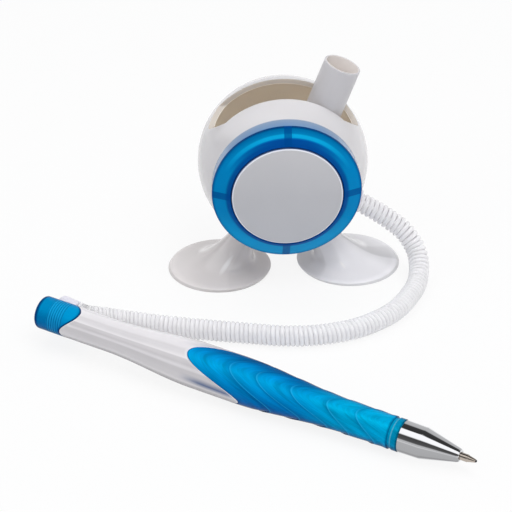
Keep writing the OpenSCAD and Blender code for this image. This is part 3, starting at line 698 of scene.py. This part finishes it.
def helix(axis, lengths):
    """middle line of the wire"""
    total = lengths[-1]
    dirs = directions(axis)
    # level side vector carried along the axis, so that the turns don't twist
    side = Vector((0, 0, 1)).cross(dirs[0]).normalized()
    sides = []
    for d in dirs:
        side = (side - d * side.dot(d)).normalized()
        sides.append(side.copy())
    line = []
    s, turn = BARE_START, 0.0
    while s < total - BARE_END:
        i = min(bisect_right(lengths, s) - 1, len(lengths) - 2)
        t = (s - lengths[i]) / max(lengths[i + 1] - lengths[i], 1e-9)
        d = dirs[i].lerp(dirs[i + 1], t).normalized()
        u = sides[i].lerp(sides[i + 1], t)
        u = (u - d * u.dot(d)).normalized()
        # the first turn draws in towards the bush
        r = (COIL_R - WIRE_R) * min(1.0, 0.72 + 0.28 * s / 1.5)
        a = 2 * math.pi * turn
        line.append(axis[i].lerp(axis[i + 1], t) + r * (math.cos(a) * u + math.sin(a) * d.cross(u)))
        pitch = PITCH_NEAR - (PITCH_NEAR - PITCH_FAR) * clamp((s - CLOSE_FROM) / CLOSE_OVER)
        pitch -= (PITCH_FAR - PITCH_END) * clamp((s - total + TIGHT_LAST) / TIGHT_OVER)
        s += pitch / TURN_STEPS
        turn += 1 / TURN_STEPS
    return line


def make_cord():
    axis = cord_axis()
    lengths = [0.0]
    for a, b in zip(axis, axis[1:]):
        lengths.append(lengths[-1] + (b - a).length)
    line = helix(axis, lengths)
    dirs = directions(line)
    up = Vector((0, 0, 1)) if abs(dirs[0].z) < 0.9 else Vector((1, 0, 0))
    normal = up.cross(dirs[0]).normalized()
    verts = []
    for p, t in zip(line, dirs):
        normal = (normal - t * normal.dot(t)).normalized()
        across = t.cross(normal)
        for k in range(WIRE_SIDES):
            q = on_circle(WIRE_R, k, WIRE_SIDES)
            verts.append(p + q.x * normal + q.y * across)
    ob = mesh_object("curly_cord", verts, ring_faces(len(line), WIRE_SIDES))
    piece(ob, "cord_clear", "cord")


make_cord()

# the pen's edges, in the tongue's frame
POINT_AT, TONGUE_ROOT, TONGUE_HALF = GRIP_FRONT * 0.601, GRIP_FRONT * 0.4378, BELLY_R * 1.007
CAP_BACK, CAP_TONGUE = REAR_R * 1.79, REAR_R * 1.06


def shell_front(h):
    """edge of the shell towards the grip, at height h from the tongue's plane"""
    return 0.5 + TONGUE_ROOT + (POINT_AT - 0.3 - TONGUE_ROOT) * max(0.0, 1 - (h / TONGUE_HALF) ** 2) ** 1.08


def shell_rear(h):
    """edge of the shell towards the cap"""
    return CAP_BACK + CAP_TONGUE * (h / REAR_R) ** 2


def edge_at(a, rule):
    """where an edge crosses the outline at the angle a round the pen"""
    if rule is shell_rear:
        a += rad(CAP_TURN)
    s = rule(0)
    for _ in range(30):
        s = 0.5 * s + 0.5 * rule(pen_r(s) * math.cos(a))
    return s


def around(a):
    """share of a half turn round the pen, from its upper outline over the tongue to the lower one"""
    return (math.degrees(a) + TURN_START) / 180 % 1


def lathe_piece(name, rows, columns, slot, node, look=None, closed=False, crease=40):
    """rows are functions of the angle that give radius, distance and the painted dark, light and front"""
    angles = [2 * math.pi * j / columns for j in range(columns)]
    spots = [(a, *row(a)) for row in rows for a in angles]
    verts = [TONGUE_M @ Vector((r * math.cos(a), r * math.sin(a), s)) for a, r, s, *_ in spots]
    ob = mesh_object(name, verts, ring_faces(len(rows), columns, closed=closed))
    for i, label in enumerate(("dark", "light", "front"), 3):
        paint = ob.data.attributes.new(label, "FLOAT", "POINT")
        paint.data.foreach_set("value", [spot[i] for spot in spots])
    piece(ob, slot, node, look)
    sharpen(ob, crease)


GROOVES, GROOVE_FROM, GROOVE_PITCH, GROOVE_DEPTH = 7, REAR_R * 0.89, REAR_R * 0.156, 0.16
CAP_ROUND = 1.0


def make_cap():
    """round rear end, seven ring grooves, and a smooth tongue on each side"""
    grooves = [GROOVE_FROM + i * GROOVE_PITCH for i in range(GROOVES)]
    spigot_r, spigot_to = REAR_R - SHELL_WALL - SEAM, CAP_BACK + CAP_TONGUE * 1.4

    def edge(a):
        return edge_at(a, shell_rear) - SEAM

    # painted shade along the tongue's edge
    def edge_line(e, s):
        return 0.9 * near(max(0.0, e - s - 0.12), 0.62)

    # painted shade, deepest at the rear end
    def plain(s):
        return lambda a: (pen_r(s), s, max(near(abs(s - 0.3), 1.3) * 0.85, 0.24), 0, 0)

    # painted shade in each groove, and a painted highlight on the flats between the grooves
    def groove(place, depth):
        def row(a):
            e, s, d = edge(a), place, depth
            if s > e - 0.5:
                s, d = e - 0.5 + 0.002 * (s - e + 0.5), 0
            dark = max(0.34 * d / GROOVE_DEPTH, edge_line(e, s))
            return pen_r(s) - d, s, dark, 0.22 * (d == 0) * (1 - near(e - s, 1.5)), 0
        return row

    def tongue(v):
        def row(a):
            e = edge(a)
            start = min(grooves[-1] + 0.5, e - 0.4)
            s = start + (e - start) * v
            return pen_r(s), s, edge_line(e, s), 0, 0
        return row

    # painted shade on the round rear end and on the hidden spigot
    rows = [lambda a: (0.02, 0, 0.4, 0, 0), lambda a: (REAR_R - 1.6, 0, 0.5, 0, 0)]
    for k in range(7):
        b = rad(-90 + 15 * k)
        r, s = REAR_R - CAP_ROUND + CAP_ROUND * math.cos(b), CAP_ROUND + CAP_ROUND * math.sin(b)
        rows.append(lambda a, r=r, s=s: (r, s, 0.9, 0, 0))
    rows += [plain(s) for s in (1.6, 2.4, 3.4, GROOVE_FROM - 0.02)]
    for g in grooves:
        for k, part in enumerate((0, 0.625, 1, 1, 0.625, 0)):
            rows.append(groove(g + GROOVE_PITCH * (0.06 + 0.085 * k), GROOVE_DEPTH * part))
    rows += [tongue(v) for v in (0, 0.12, 0.25, 0.4, 0.55, 0.68, 0.78, 0.86, 0.92, 0.96, 0.985, 1)]
    rows.append(lambda a: (spigot_r, edge(a), 1, 0, 0))
    rows.append(lambda a: (spigot_r, spigot_to, 1, 0, 0))
    rows.append(lambda a: (0.02, spigot_to, 1, 0, 0))
    lathe_piece("grooved_cap", rows, 180, "blue_clear", "rear_cap", "cap_blue")


FLUTES, FLUTE_DEPTH, EDGE_ROUND = 10, 0.22, 0.25


def make_shell():
    """fluted shell with its two points at each end, and its smooth inside"""
    flute_from, flute_to = CAP_BACK * 0.89, POINT_AT * 1.027

    def ends(a, v):
        rear, front = edge_at(a, shell_rear), edge_at(a, shell_front)
        return rear, front, rear + (front - rear) * v

    def shadow(a, s, to_front):
        """darker patch on the flank of each point, and a faint one on top before the grip"""
        flank = near(abs(math.degrees(a) % 180 - 70 - 0.35 * (s - 60)), 14)
        flank *= 0.95 * smooth(s, 50, 59) * (1 - smooth(s, 66, 71))
        top = 0.3 * near(to_front, 7) * smooth(s, 44, 50) * (1 - smooth(around(a), 0.16, 0.26))
        return max(flank, top)

    def outer(v):
        def row(a):
            rear, front, s = ends(a, v)
            fade = max(0.0, math.sin(math.pi * (s - flute_from) / (flute_to - flute_from)))
            dip = FLUTE_DEPTH * fade * (1 - math.cos(FLUTES * a)) / 2
            rim = near(min(s - rear, front - s), EDGE_ROUND)
            round_off = 0.22 * (1 - math.sqrt(max(0.0, 1 - rim ** 2)))
            # painted highlight along both edges of the shell
            glow = max(near(front - s, 0.75), 0.55 * near(s - rear, 0.7))
            return pen_r(s) - dip - round_off, s, shadow(a, s, front - s) * (1 - glow), glow, 0
        return row

    def inner(v):
        def row(a):
            s = ends(a, v)[2]
            return pen_r(s) - SHELL_WALL, s, 0, 0, 0
        return row

    steps = [0, 0.001, 0.0025, 0.005, 0.01, 0.016] + [0.016 + 0.968 * k / 70 for k in range(1, 70)]
    steps += [0.984, 0.99, 0.995, 0.9975, 0.999, 1]
    rows = [outer(v) for v in steps] + [inner(v) for v in (1, 0.9, 0.75, 0.6, 0.45, 0.3, 0.15, 0)]
    lathe_piece("fluted_barrel", rows, 240, "pearl_white", "barrel_shell", closed=True, crease=50)


# where each leaf line crosses the tongue's middle, as a share of the grip's front, and how far it
# bends ahead on the flanks, in radii of the belly; the last one is the grip's end
LEAF_LINES = ((0.564, 2.1), (0.6378, 2.17), (0.7313, 1.81), (0.8283, 1.16), (0.9064, 1.01), (1, 0))
LEAF_RELIEF = 0.24
GRIP_SPIGOT = TONGUE_ROOT * 0.877


def make_grip():
    """two tongues, and leaf steps that wind round from the tongue's middle"""
    last = len(LEAF_LINES) - 1

    def line(k, a):
        if k == 0:
            return edge_at(a, shell_front) + SEAM
        at, bend = LEAF_LINES[k - 1]
        return GRIP_FRONT * at + BELLY_R * bend * math.sin(a) ** 2

    def sink(k, v):
        """the crest follows each step, and the leaf sinks towards the next"""
        if k == 0:
            return LEAF_RELIEF * smooth(v, 0.6, 1.0)
        if k == last:
            return LEAF_RELIEF * v * (1 - smooth(v, 0.5, 0.9)) + 0.3 * smooth(v, 0.97, 1.0)
        return LEAF_RELIEF * v

    def painted(k, a, after, before):
        """painted shade after each step, deeper on the upper side, a painted highlight line just after it,
        and painted shade before the next step
        """
        if k == 0:
            dark, glow = 0.75 * near(after, 0.5), 0.0
        else:
            upper = 1 - smooth(around(a), 0.22, 0.42)
            lower = smooth(around(a), 0.7, 0.95)
            glow = 0.55 * near(abs(after - 0.25), 0.35) * (1 - 0.7 * upper) * (1 - 0.5 * lower)
            dark = max(0.25 * near(after - 0.8, 3.0) * abs(math.sin(a)),
                       0.5 * upper * near(abs(after - 0.6), 1.3))
        ahead = 0.8 * near(before, 0.5) if k == last else 0.3 * near(before, 2.4)
        return max(dark, ahead), glow

    def leaf(k, v):
        def row(a):
            start, end = line(k, a), line(k + 1, a)
            s = start + (end - start) * v
            dark, glow = painted(k, a, s - start, end - s)
            at = min(s, GRIP_FRONT)
            return pen_r(at) - sink(k, v), at, dark, glow, smooth(s, 84, 104)
        return row

    inset = SHELL_WALL + SEAM
    rows = [lambda a: (3.0, GRIP_SPIGOT, 0, 0, 0),
            lambda a: (pen_r(GRIP_SPIGOT) - inset, GRIP_SPIGOT, 0, 0, 0),
            lambda a: (pen_r(50) - inset, 50, 0, 0, 0),
            lambda a: (pen_r(line(0, a)) - inset, line(0, a), 0, 0, 0)]
    for k in range(last + 1):
        n = 26 if k == 0 else 16
        shares = [i / n for i in range(n + 1)]
        if k:
            shares[1:1] = [0.015, 0.03]
        rows += [leaf(k, v) for v in shares]
    rows.append(lambda a: (3.0, GRIP_FRONT, 0, 0, 0))
    lathe_piece("leaf_grip", rows, 192, "grip_blue", "grip_barrel")


CONE_R, LIP, HOLLOW = 10.4, 1.2, 2.6
FOOT_COLUMNS = 96


def make_foot(side, name, node, look):
    """suction foot: hollow underside, turned lip, horn-shaped cone, and the stub with its snap head"""
    def ring(r, z):
        base, lean = foot_lean(side)
        middle = Vector((base + lean * z / FOOT_H, 0, z))
        tilt = Matrix.Rotation(-side * rad(FOOT_ANGLE) * (z / FOOT_H) ** 3, 3, "Y")
        return [STAND_M @ (middle + tilt @ on_circle(r, j, FOOT_COLUMNS)) for j in range(FOOT_COLUMNS)]

    def horn(t):
        return NECK_R + (CONE_R - NECK_R) * (1 - t) ** 2 + (FOOT_R * 0.93 - CONE_R) * (1 - t) ** 18

    under = [0.02 + 0.98 * i / 14 for i in range(15)]
    rings = [ring((FOOT_R - LIP) * t, HOLLOW * (1 - t * t)) for t in under]
    rings += [ring(FOOT_R - q, z) for q, z in (
        (0.25, 0.0), (0.08, 0.06), (0, 0.2), (0, 0.72), (0.05, 0.92), (0.16, 1.08), (0.4, LIP),
        (0.9, LIP + 0.04))]
    low = LIP * 1.1
    cone = [0.003 + 0.997 * (i / 44) ** 1.8 for i in range(45)]
    rings += [ring(horn(t), low + (FOOT_H - low) * t) for t in cone]
    # the stub through the ball's wall and its head, drawn from the ball's middle down the neck
    neck = BALL_M @ spin(STAND_TURN, "Z") @ spin(180 - side * FOOT_ANGLE, "Y")
    head = chord(INNER_R, HEAD_R + HEAD_GAP) - 0.06
    stub = [(STUB_R, FOOT_SEAT - 0.2), (STUB_R, head), (HEAD_R, head), (STUB_R, head - HEAD_T),
            (0.02, head - HEAD_T)]
    verts = [p for r in rings for p in r]
    verts += [neck @ on_circle(r, -j, FOOT_COLUMNS, h) for r, h in stub for j in range(FOOT_COLUMNS)]
    faces = ring_faces(len(rings), FOOT_COLUMNS)
    faces += ring_faces(len(stub), FOOT_COLUMNS, first=len(rings) * FOOT_COLUMNS)
    ob = mesh_object(name, verts, faces)
    piece(ob, "foot_white", node, look)
    sharpen(ob, 50)


make_cap()
make_shell()
make_grip()
make_foot(-1, "suction_foot_left", "foot_left", "foot_white")
make_foot(1, "suction_foot_right", "foot_right", "foot_right")

# the frame's own nodes wear the look of their slot, apart from the neck ring, which has its own
SLOTS = {s["node"]: s["material_slot"] for s in frame["record"]["subparts"]}
for name, ob in frame["nodes"].items():
    dress(ob, "neck_blue" if name == "neck_ring" else SLOTS[name])


# studio
def stage():
    """a floor that is nearly white to the eye and still takes the object's shadow"""
    me = bpy.data.meshes.new("floor")
    me.from_pydata([(-4, -4, 0), (4, -4, 0), (4, 4, 0), (-4, 4, 0)], [], [(0, 1, 2, 3)])
    floor = bpy.data.objects.new("floor", me)
    floor.location.z = -0.02 * MM
    scene.collection.objects.link(floor)
    s = Shader("floor", Base_Color=(0.9, 0.9, 0.9, 1), Roughness=0.9, Specular_IOR_Level=0.0)
    glow = s.node("Emission")
    glow.inputs["Color"].default_value = (1, 1, 1, 1)
    glow.inputs["Strength"].default_value = 1.0
    ray = s.node("LightPath").outputs
    seen = s.math("MAXIMUM", ray["Is Camera Ray"], ray["Is Glossy Ray"])
    seen = s.math("MAXIMUM", seen, ray["Is Transmission Ray"])
    surface = s.mix_shader(s.times(seen, 0.86), s.p.outputs[0], glow.outputs[0])
    s.link(surface, s.tree.nodes["Material Output"].inputs["Surface"])
    me.materials.append(s.mat)


def area(name, place, target, size, power, glossy=False):
    d = bpy.data.lights.new(name, "AREA")
    d.shape = "RECTANGLE"
    d.size, d.size_y = size
    d.energy = power
    o = bpy.data.objects.new(name, d)
    o.visible_glossy = glossy
    o.location = place
    o.rotation_euler = (Vector(target) - Vector(place)).to_track_quat("-Z", "Y").to_euler()
    scene.collection.objects.link(o)


def make_world(strength):
    """plain light for the surfaces, white for the eye, and a room of soft boxes and dark sides for gloss"""
    world = bpy.data.worlds.new("world")
    scene.world = world
    world.use_nodes = True
    w = Nodes(world.node_tree)
    plain = w.tree.nodes["Background"]
    plain.inputs["Color"].default_value = (0.97, 0.98, 1.0, 1)
    plain.inputs["Strength"].default_value = strength
    ray_dir = w.node("TexCoord").outputs["Generated"]
    sep = w.node("SeparateXYZ")
    w.link(ray_dir, sep.inputs[0])
    # level direction square to the pen, towards its front
    square = w.node("VectorMath", operation="DOT_PRODUCT")
    square.inputs[1].default_value = (-math.sin(rad(PEN_TURN)), -math.cos(rad(PEN_TURN)), 0)
    w.link(ray_dir, square.inputs[0])
    angle = w.math("ARCTAN2", sep.outputs["Z"], square.outputs["Value"])
    boxes = w.grey(w.math("DIVIDE", angle, math.pi), [
        (0.0, 0.6), (0.045, 0.6), (0.09, 0.1), (0.245, 0.06), (0.285, 1.2), (0.47, 1.25), (0.53, 0.04),
        (0.7, 0.05), (0.75, 0.55), (1.0, 0.6)])
    room = w.node("Background")
    w.link(boxes, room.inputs["Color"])
    white = w.node("Background")
    ray = w.node("LightPath").outputs
    lit = w.mix_shader(ray["Is Glossy Ray"], plain.outputs[0], room.outputs[0])
    eye = w.math("MAXIMUM", ray["Is Camera Ray"], ray["Is Transmission Ray"])
    surface = w.mix_shader(eye, lit, white.outputs[0])
    w.link(surface, w.tree.nodes["World Output"].inputs["Surface"])


stage()
area("key", (0.22, -0.3, 0.78), (0, 0, 0.02), (0.5, 0.5), 2.6)
area("sparkle", (-0.3, -0.5, 0.5), (0, 0, 0.03), (0.06, 0.06), 0.12, glossy=True)
area("fill", (-0.6, -0.35, 0.5), (0, 0, 0.02), (0.5, 0.5), 0.8)
area("top", (0.0, 0.25, 0.8), (0, 0, 0.02), (0.7, 0.4), 1.5)
make_world(0.5)
